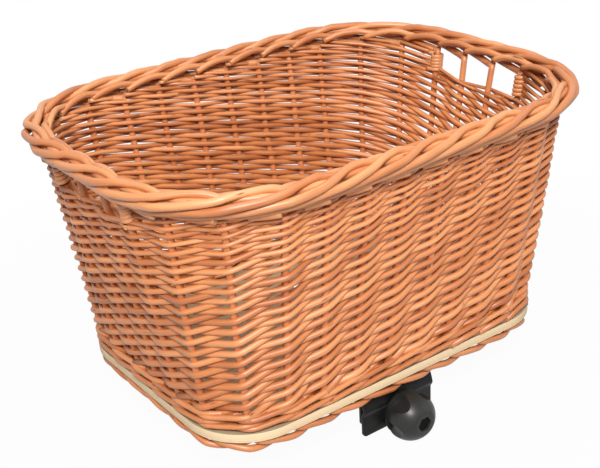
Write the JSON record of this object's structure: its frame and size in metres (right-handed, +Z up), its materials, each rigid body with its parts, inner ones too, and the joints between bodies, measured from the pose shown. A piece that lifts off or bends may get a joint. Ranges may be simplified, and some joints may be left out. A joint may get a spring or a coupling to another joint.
{
  "type": "bicycle basket",
  "caption": "Flared woven willow basket on a plywood board, with hand openings in its short ends and a screw clamp below that grips the rails of a bicycle carrier.",
  "frame": {"origin": "under the middle of the basket, level with the lowest point of the clamp's knob", "axes": "+Z up out of the mouth, +X along the long sides, the clamp's knob towards -Y"},
  "size_m": [0.46, 0.35, 0.2887],
  "materials": {
    "willow_weave": "peeled buff willow",
    "willow_stake": "peeled buff willow",
    "willow_border": "satin buff willow",
    "willow_skein": "satin buff willow",
    "plywood": "sanded plywood",
    "black_steel": "satin black",
    "zinc_steel": "zinc plated",
    "knob_plastic": "satin moulded"
  },
  "bodies": {
    "basket": {"stake_01": "willow_stake", "stake_02": "willow_stake", "stake_03": "willow_stake", "stake_04": "willow_stake", "stake_05": "willow_stake", "stake_06": "willow_stake", "stake_07": "willow_stake", "stake_08": "willow_stake", "stake_09": "willow_stake", "stake_10": "willow_stake", "stake_11": "willow_stake", "stake_12": "willow_stake", "stake_13": "willow_stake", "stake_14": "willow_stake", "stake_15": "willow_stake", "stake_16": "willow_stake", "stake_17": "willow_stake", "stake_18": "willow_stake", "stake_19": "willow_stake", "stake_20": "willow_stake", "stake_21": "willow_stake", "stake_22": "willow_stake", "stake_23": "willow_stake", "stake_24": "willow_stake", "stake_25": "willow_stake", "stake_26": "willow_stake", "stake_27": "willow_stake", "stake_28": "willow_stake", "stake_29": "willow_stake", "stake_30": "willow_stake", "stake_31": "willow_stake", "stake_32": "willow_stake", "handle_winding_right_back": "willow_skein", "handle_winding_left_back": "willow_skein", "handle_winding_left_front": "willow_skein", "handle_winding_right_front": "willow_skein", "mount_bolt_back_right": "zinc_steel", "mount_bolt_back_left": "zinc_steel", "mount_bolt_front_left": "zinc_steel", "mount_bolt_front_right": "zinc_steel", "mount_nut_back_right": "zinc_steel", "mount_nut_back_left": "zinc_steel", "mount_nut_front_left": "zinc_steel", "mount_nut_front_right": "zinc_steel", "captive_nut": "zinc_steel", "clamp_bridge": "black_steel", "anchor_angle": "black_steel", "base_board": "plywood", "packing_block_back": "plywood", "packing_block_front": "plywood", "side_weave": "willow_weave", "upsett_wale": "willow_weave", "rim_border": "willow_border", "foot_border": "willow_border"},
    "jaw": {"clamp_jaw": "black_steel"},
    "knob": {"clamp_knob": "knob_plastic", "clamp_screw": "zinc_steel", "knob_washer": "zinc_steel"}
  },
  "joints": [
    {"name": "jaw_slide", "type": "slide", "parent": "basket", "child": "jaw", "axis": [0, -1, 0], "range_m": [0, 0.012]},
    {"name": "knob_turn", "type": "hinge", "parent": "jaw", "child": "knob", "pos_m": [0, -0.134, 0.02124], "axis": [0, -1, 0], "range_deg": [0, 4320]}
  ],
  "couplings": [
    {"joint": "jaw_slide", "follows": "knob_turn", "m_per_rad": 0.00015915}
  ]
}
